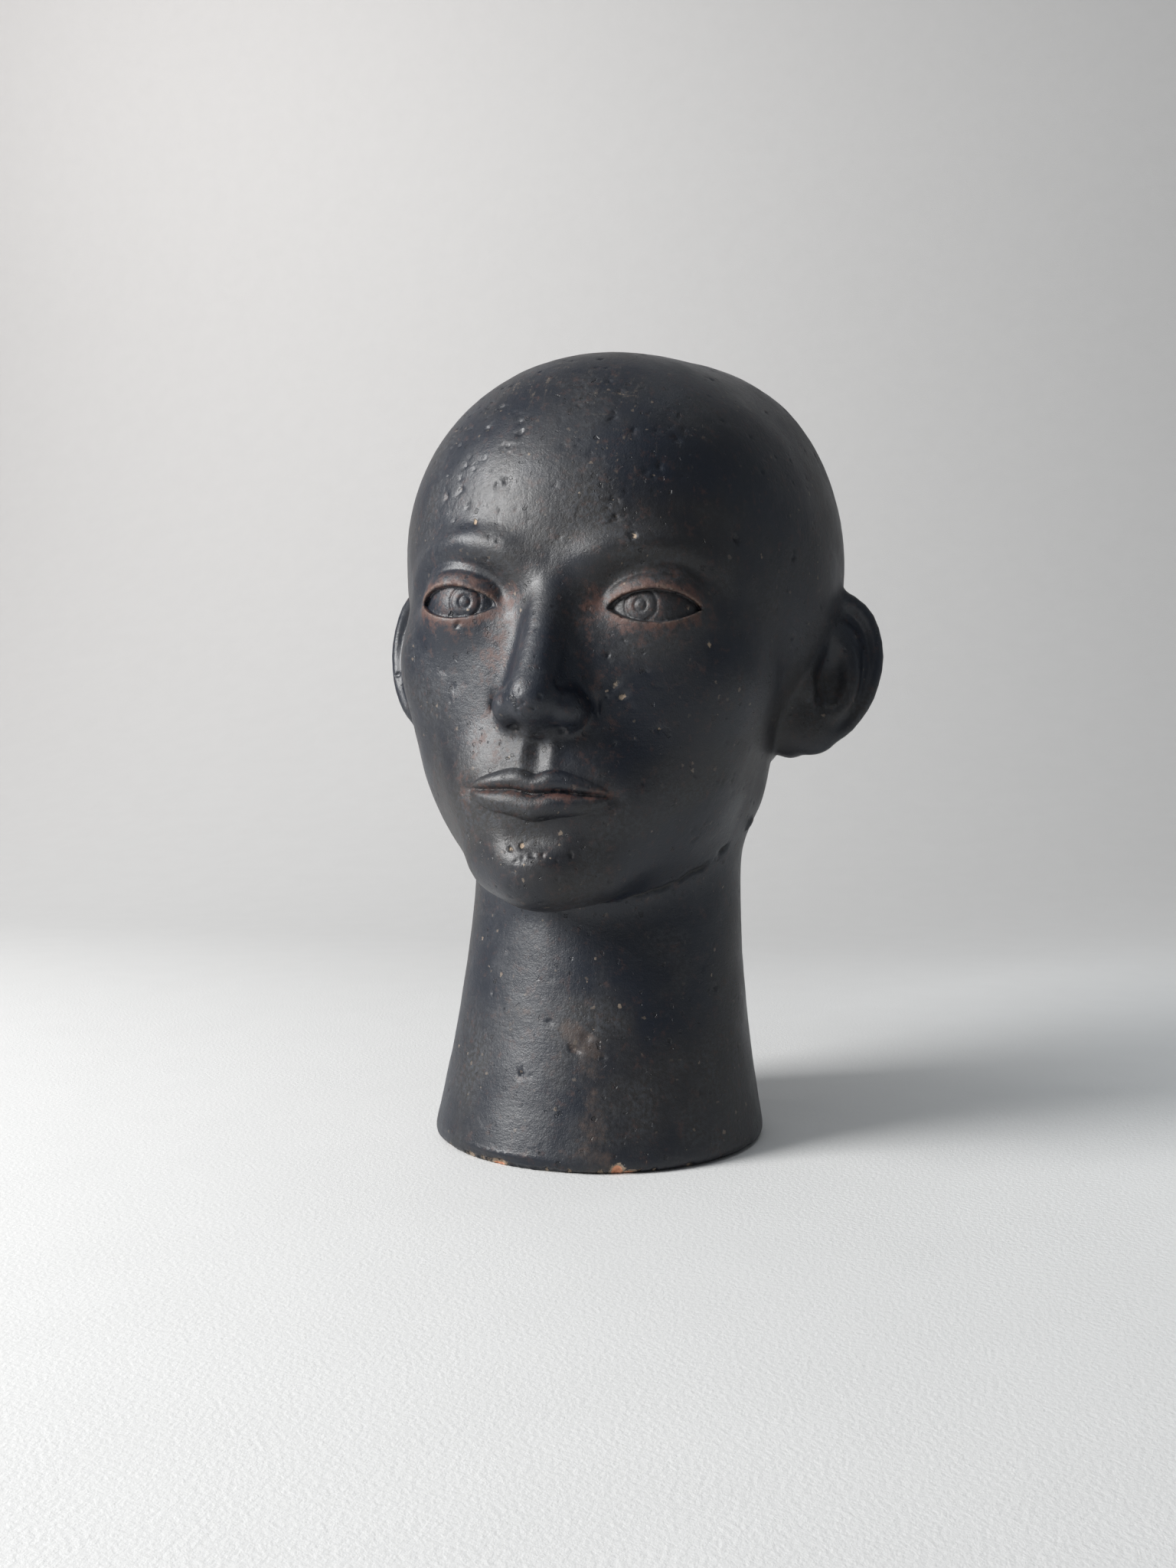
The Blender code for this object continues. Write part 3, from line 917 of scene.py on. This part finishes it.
def black_slip(colours, spots, grain):
    """Burnished black slip: leathery, clouded, pitted, dotted with grit and worn in places, with
    painted shade darkening its pits and deepest creases.
    """
    material, tree, shader, coords, clay = new_material("black_slip", grain)
    tooth, leather, clouds, strokes = clay

    def times(a, b, place):
        return math_node(tree, "MULTIPLY", a, b, place)

    def plus(a, b, place):
        return math_node(tree, "ADD", a, b, place)

    def larger(a, b, place):
        return math_node(tree, "MAXIMUM", a, b, place)

    def scattered(spacing, size, share, place):
        found = place_group(tree, spots, coords, place, Spacing=spacing, Size=size, Share=share)
        return found.outputs["Spots"]

    warm = ramp(tree, noise(tree, coords, 15, 4, (-1, 2), 0.6), 0.42, 0.66, (0, 2))
    colour = mix_colour(tree, warm, colours.slip, colours.slip_brown, (1, 2))
    grainy = ramp(tree, clouds, 0.42, 0.72, (0, 1))
    grainy = times(grainy, ramp(tree, leather, 0.38, 0.66, (0, 0)), (1, 1))
    colour = mix_colour(tree, grainy, colour, colours.bloom, (2, 2))
    scuffs = ramp(tree, strokes, 0.54, 0.68, (0, 3))
    scuffs = times(scuffs, attribute(tree, "scuffed", (0, 4)), (1, 3))
    scuffs = times(scuffs, ramp(tree, leather, 0.40, 0.60, (1, 4)), (2, 3))
    colour = mix_colour(tree, times(scuffs, 0.5, (3, 3)), colour, colours.speck, (3, 2))

    torn = noise(tree, coords, 260, 6, (0, 5), 0.72)
    torn = ramp(tree, torn, 0.30, 0.70, (1, 5), -0.45, 0.45)
    raised = attribute(tree, "raised", (0, 6))
    worn = attribute(tree, "rubbed", (0, 7))
    worn = plus(worn, ramp(tree, raised, -80, -420, (1, 6), 0, -0.25), (1, 7))
    worn = ramp(tree, plus(worn, torn, (2, 7)), 0.12, 0.92, (3, 7), 0, 0.9)
    colour = mix_colour(tree, worn, colour, colours.rubbed, (4, 2))
    run = plus(attribute(tree, "stain", (0, 8)), times(torn, 0.7, (1, 9)), (1, 8))
    run = ramp(tree, run, 0.22, 1.0, (2, 8), 0, 0.75)
    colour = mix_colour(tree, run, colour, colours.stained, (5, 2))
    edge = times(ramp(tree, raised, 150, 700, (1, 10), 0, 0.35), leather, (2, 9))
    colour = mix_colour(tree, edge, colour, colours.speck, (6, 2))
    # Painted shade: the deepest hollows and creases, found from the mesh's bend, are darkened
    # towards black. The crack under the chin joins them as a real dark line.
    deep = ramp(tree, raised, -260, -1100, (1, 17), 0, 0.75)
    crack = ramp(tree, attribute(tree, "crack", (0, 18)), 0.25, 0.75, (1, 18), 0, 0.92)
    deep = larger(deep, crack, (2, 18))

    crowd = attribute(tree, "pitted", (0, 10))
    patches = ramp(tree, noise(tree, coords, 42, 3, (0, 11)), 0.44, 0.66, (1, 11), 0.22, 0.85)
    crowd = larger(crowd, patches, (2, 10))
    holes = times(scattered(360.0, 0.38, 0.36, (3, 11)), crowd, (4, 11))
    wide_holes = times(scattered(165.0, 0.26, 0.30, (3, 12)), crowd, (4, 12))
    holes = larger(holes, wide_holes, (5, 11))
    dots = times(scattered(330.0, 0.30, 0.26, (3, 13)), crowd, (4, 13))
    lone_dots = times(scattered(140.0, 0.13, 0.26, (3, 14)), 0.8, (4, 14))
    dots = larger(dots, lone_dots, (5, 13))
    grit = mix_colour(tree, torn, colours.speck, colours.rubbed, (6, 13))
    colour = mix_colour(tree, times(dots, 0.8, (7, 13)), colour, grit, (7, 2))
    # Painted shade: pits and deep creases turn near-black as if shaded inside, and the crack under
    # the chin turns dark with them
    pit_and_crease_shade_and_crack = larger(times(holes, 0.8, (7, 11)), deep, (7, 12))
    colour = mix_colour(tree, pit_and_crease_shade_and_crack, colour, SHADE_AND_CRACK_BLACK, (8, 2))

    bare = attribute(tree, "bare", (0, 15))
    broken = ramp(tree, plus(bare, times(torn, 0.5, (1, 16)), (1, 15)), 0.22, 0.50, (2, 15))
    fresh = mix_colour(
        tree, ramp(tree, bare, 0.66, 0.88, (2, 16)), colours.speck, colours.broken, (3, 16)
    )
    colour = mix_colour(tree, broken, colour, fresh, (9, 2))
    tree.links.new(colour, shader.inputs["Base Color"])

    rough = ramp(tree, clouds, 0.32, 0.68, (8, 4), 0.30, 0.44)
    rough = plus(rough, times(leather, 0.14, (8, 5)), (9, 4))
    rough = plus(rough, times(worn, 0.14, (9, 5)), (10, 4))
    rough = math_node(tree, "MAXIMUM", rough, times(broken, 0.9, (10, 5)), (11, 4), clamp=True)
    tree.links.new(rough, shader.inputs["Roughness"])

    leathery = ramp(tree, clouds, 0.38, 0.62, (7, 8), 0.09, 0.22)
    height = times(leather, leathery, (8, 7))
    reliefs = ((tooth, 0.10), (strokes, 0.06), (holes, -0.55), (dots, 0.05), (broken, -0.20))
    for column, (pattern, relief) in enumerate(reliefs, start=8):
        height = plus(height, times(pattern, relief, (column, 8)), (column + 1, 7))
    press(tree, shader, height, (11, 3))
    return material


def raw_clay(colours, spots, grain):
    """Unburnished clay of the hollow and the foot's ring, smoked dark inside."""
    material, tree, shader, coords, clay = new_material("raw_clay", grain)
    tooth, leather, clouds, _ = clay
    smoke = ramp(tree, clouds, 0.35, 0.62, (0, 1))
    colour = mix_colour(tree, smoke, tuple(0.45 * c for c in colours.broken), SMOKED_CLAY, (1, 1))
    spotted = place_group(tree, spots, coords, (0, 3), Spacing=320.0, Size=0.36, Share=0.5)
    dots = spotted.outputs["Spots"]
    pale = math_node(tree, "MULTIPLY", dots, 0.6, (1, 3))
    colour = mix_colour(tree, pale, colour, colours.speck, (2, 1))
    tree.links.new(colour, shader.inputs["Base Color"])
    tree.links.new(ramp(tree, tooth, 0.3, 0.7, (2, 4), 0.78, 0.95), shader.inputs["Roughness"])
    skin_height = math_node(tree, "MULTIPLY", leather, 0.5, (2, 5))
    dot_height = math_node(tree, "MULTIPLY", dots, 0.2, (2, 6))
    press(tree, shader, math_node(tree, "ADD", skin_height, dot_height, (3, 5)), (3, 3))
    return material


def plain_paint(colours, grain):
    """The stage's matt, faintly toothed paint."""
    material, tree, shader, _, clay = new_material("pale_paint", grain)
    tint = ramp(tree, clay["Clouds"], 0.3, 0.7, (0, 1), 0, 0.25)
    colour = mix_colour(tree, tint, colours.floor, tuple(0.93 * c for c in colours.floor), (1, 0))
    tree.links.new(colour, shader.inputs["Base Color"])
    shader.inputs["Roughness"].default_value = 0.9
    press(tree, shader, math_node(tree, "MULTIPLY", clay["Leather"], 0.25, (1, 3)), (2, 3))
    return material


# Pieces


def pick_only(thing):
    """Selects one object alone."""
    bpy.ops.object.select_all(action="DESELECT")
    thing.select_set(True)
    bpy.context.view_layer.objects.active = thing


def edit_chosen(elements, chosen, kind, change, **settings):
    """Makes one change to the chosen faces or edges of the active object's mesh."""
    bpy.ops.object.mode_set(mode="EDIT")
    bpy.ops.mesh.select_all(action="DESELECT")
    bpy.ops.object.mode_set(mode="OBJECT")
    elements.foreach_set("select", chosen)
    bpy.ops.object.mode_set(mode="EDIT")
    bpy.ops.mesh.select_mode(type=kind)
    change(**settings)
    bpy.ops.object.mode_set(mode="OBJECT")


def refine_features(thing, form):
    """Splits the faces of the eyes, nose, mouth and ears once more, to keep their carving crisp."""
    faces = thing.data.polygons
    fine = feature_places(mirrored(rows(faces, "center"), form))
    pick_only(thing)
    edit_chosen(faces, fine, "FACE", bpy.ops.mesh.subdivide, number_cuts=1, quadcorner="INNERVERT")


def paint(mesh, name, values):
    """Keeps a value for each vertex as a named attribute."""
    mesh.attributes.new(name, "FLOAT", "POINT").data.foreach_set("value", values.astype(np.float32))


HEAD_REACH = 55
CROWN_REACH = 53
GAP = 3


def carve(form, sizes):
    """The bust as one closed mesh, carved, worn and thinned to its triangles."""
    step = sizes.grain_step / form.unit * 1

    def field(p):
        return bust(p, form)

    room = max(HEAD_REACH, form.foot_radius) + GAP
    low = np.array([-room, -room, form.table - GAP])
    high = np.array([room, room, CROWN_REACH])
    points, quads = skin(field, low, high, step)
    mesh = bpy.data.meshes.new("clay_bust")
    mesh.from_pydata(points.tolist(), [], quads.tolist())
    thing = bpy.data.objects.new("clay_bust", mesh)
    bpy.context.scene.collection.objects.link(thing)
    refine_features(thing, form)

    points = rows(mesh.vertices, "co")
    for _ in range(2):
        points, normals = settle(field, points, step)
    outer = np.minimum(*head_and_neck(points, form)) > -0.25 * form.wall
    outer &= points[:, 2] > form.table + 0.02
    seam = crack_line(points, form)
    wear = Wear(points[outer], form, sizes)
    points[outer] -= wear.pressed(points[outer], seam[outer])[:, None] * normals[outer]
    points[:, 2] = np.maximum(points[:, 2], form.table)
    mesh.vertices.foreach_set("co", points.ravel())
    mesh.update()

    pick_only(thing)
    thin = thing.modifiers.new("thin", "DECIMATE")
    thin.ratio = min(1, sizes.triangles / (2 * len(mesh.polygons)))
    bpy.ops.object.modifier_apply(modifier=thin.name)
    return thing, wear


class BUST_OT_clay_bust(bpy.types.Operator):
    """Carves the hollow clay bust and gives it its black slip"""

    bl_idname = "bust.clay_bust"
    bl_label = "Carve the bust"

    def execute(self, context):
        sizes, colours = context.scene.bust_sizes, context.scene.bust_colours
        form = Form(sizes)
        thing, wear = carve(form, sizes)
        mesh = thing.data
        points = rows(mesh.vertices, "co")
        paint(mesh, "rubbed", rubbed(points, form))
        paint(mesh, "stain", stain(points))
        paint(mesh, "pitted", pitted(points))
        paint(mesh, "scuffed", scuffed(points))
        paint(mesh, "bare", wear.bare(points))
        paint(mesh, "crack", crack_line(points, form))
        mesh.vertices.foreach_set("co", (points * form.unit + form.head).ravel())
        mesh.update()
        paint(mesh, "raised", bend(mesh))

        middles = (rows(mesh.polygons, "center") - form.head) / form.unit
        deep = np.minimum(*head_and_neck(middles, form)) < -0.5 * form.wall
        deep |= middles[:, 2] < form.table + 0.05
        spots, grain = spots_group(), clay_grain_group()
        mesh.materials.append(black_slip(colours, spots, grain))
        mesh.materials.append(raw_clay(colours, spots, grain))
        mesh.polygons.foreach_set("material_index", deep.astype(np.int32))
        pick_only(thing)
        bpy.ops.object.shade_smooth()
        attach(thing, "root")
        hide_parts("bust")
        return {"FINISHED"}


# The photograph is 1536 by 2048 pixels. The camera stands level, turned round the bust's foot.
PHOTO_LONG_SIDE = 2048
FOCAL_PIXELS = 1700
SENSOR = 36
CAMERA_DISTANCE = 0.538
CAMERA_HEIGHT = 0.142
CAMERA_TURN = math.radians(15)
FOOT_RIGHT_OF_AXIS = 0.0045

# Each soft light: its turn from the camera in degrees, height and distance, the same for what it
# is aimed at, then its size, spread in degrees, power and colour
LIGHTS = (
    ("key", (-66, 0.74, 1.25), (0, 0.19, 0), 0.55, 180, 34, (1.0, 0.99, 0.975)),
    ("overhead", (-35, 1.60, 1.00), (0, 0.15, 0), 1.5, 180, 6, (0.95, 0.975, 1.0)),
    ("right_fill", (78, 0.55, 1.8), (0, 0.2, 0), 1.2, 180, 0.8, (0.80, 0.90, 1.0)),
    ("wall_wash", (-105, 1.90, 1.60), (-160, 1.75, 2.8), 1.0, 180, 38, (1.0, 0.955, 0.93)),
    ("shadow_lift", (100, 1.50, 0.62), (98, 0.0, 0.60), 0.4, 46, 0.72, (0.92, 0.97, 1.0)),
)

AMBIENT_COLOUR = (0.86, 0.90, 0.95)
AMBIENT_STRENGTH = 0.16


def around(turn, height, distance):
    """A place at a turn from the camera's side in degrees, and at a height and a distance."""
    angle = CAMERA_TURN + math.radians(turn)
    return Vector((math.sin(angle) * distance, -math.cos(angle) * distance, height))


def backdrop(paint_of_stage):
    """A floor that sweeps up into a wall behind the bust, extruded and rounded from one edge."""
    size, wall_height, sweep = 8, 5, 1.4
    bpy.ops.object.select_all(action="DESELECT")
    bpy.ops.mesh.primitive_plane_add(size=size, location=(0, -size / 4, 0))
    floor = bpy.context.object
    floor.name = "floor"
    mesh = floor.data

    def edit_edges(at_end, change, **settings):
        """Makes one change to the edges whose two ends pass a test."""
        chosen = [all(at_end(mesh.vertices[i].co) for i in edge.vertices) for edge in mesh.edges]
        edit_chosen(mesh.edges, chosen, "EDGE", change, **settings)

    up = {"value": (0, 0, wall_height)}
    edit_edges(lambda end: end.y > 0, bpy.ops.mesh.extrude_region_move, TRANSFORM_OT_translate=up)
    corner = {"offset": sweep, "segments": 24, "affect": "EDGES"}
    edit_edges(lambda end: end.y > 0 and end.z == 0, bpy.ops.mesh.bevel, **corner)
    bpy.ops.object.shade_smooth()
    mesh.transform(floor.matrix_world)
    floor.matrix_world.identity()
    mesh.materials.append(paint_of_stage)
    return floor


class BUST_OT_stage(bpy.types.Operator):
    """Sets the floor, the lights and the camera"""

    bl_idname = "bust.stage"
    bl_label = "Set the stage"

    def execute(self, context):
        scene = context.scene
        grain = bpy.data.node_groups["clay grain"]
        backdrop(plain_paint(scene.bust_colours, grain))
        foot = Vector((*scene.bust_sizes.foot_place, 0))
        for name, stand, aim, size, spread, power, tint in LIGHTS:
            lamp = bpy.data.lights.new(name, "AREA")
            lamp.size = size
            lamp.spread = math.radians(spread)
            lamp.energy = power
            lamp.color = tint
            light = bpy.data.objects.new(name, lamp)
            light.location = foot + around(*stand)
            towards = foot + around(*aim) - light.location
            light.rotation_euler = towards.to_track_quat("-Z", "Y").to_euler()
            scene.collection.objects.link(light)

        camera = bpy.data.objects.new("camera", bpy.data.cameras.new("camera"))
        camera.data.sensor_width = SENSOR
        camera.data.lens = SENSOR * FOCAL_PIXELS / PHOTO_LONG_SIDE
        right = Vector((math.cos(CAMERA_TURN), math.sin(CAMERA_TURN), 0))
        middle = foot + around(0, CAMERA_HEIGHT, CAMERA_DISTANCE)
        camera.location = middle - right * FOOT_RIGHT_OF_AXIS
        camera.rotation_euler = (math.pi / 2, 0, CAMERA_TURN)
        scene.collection.objects.link(camera)
        scene.camera = camera

        sky = bpy.data.worlds.new("studio")
        sky.use_nodes = True
        ambient = sky.node_tree.nodes["Background"]
        ambient.inputs["Color"].default_value = (*AMBIENT_COLOUR, 1)
        ambient.inputs["Strength"].default_value = AMBIENT_STRENGTH
        scene.world = sky
        scene.view_settings.view_transform = "Standard"
        return {"FINISHED"}


class BUST_PT_panel(bpy.types.Panel):
    """The bust's sizes and colours, and what makes its pieces"""

    bl_label = "Clay bust"
    bl_idname = "BUST_PT_panel"
    bl_space_type = "VIEW_3D"
    bl_region_type = "UI"
    bl_category = "Clay bust"

    def draw(self, context):
        for settings in (context.scene.bust_sizes, context.scene.bust_colours):
            box = self.layout.box()
            for name in settings.__annotations__:
                box.prop(settings, name)
        for maker in MAKERS:
            self.layout.operator(maker.bl_idname)


MAKERS = (BUST_OT_clay_bust, BUST_OT_stage)
CLASSES = (BustSizes, BustColours, *MAKERS, BUST_PT_panel)


def register():
    for kind in CLASSES:
        bpy.utils.register_class(kind)
    bpy.types.Scene.bust_sizes = bpy.props.PointerProperty(type=BustSizes)
    bpy.types.Scene.bust_colours = bpy.props.PointerProperty(type=BustColours)


def unregister():
    del bpy.types.Scene.bust_colours
    del bpy.types.Scene.bust_sizes
    for kind in reversed(CLASSES):
        bpy.utils.unregister_class(kind)


def main():
    register()
    bpy.ops.bust.clay_bust()
    bpy.ops.bust.stage()


if __name__ == "__main__":
    main()
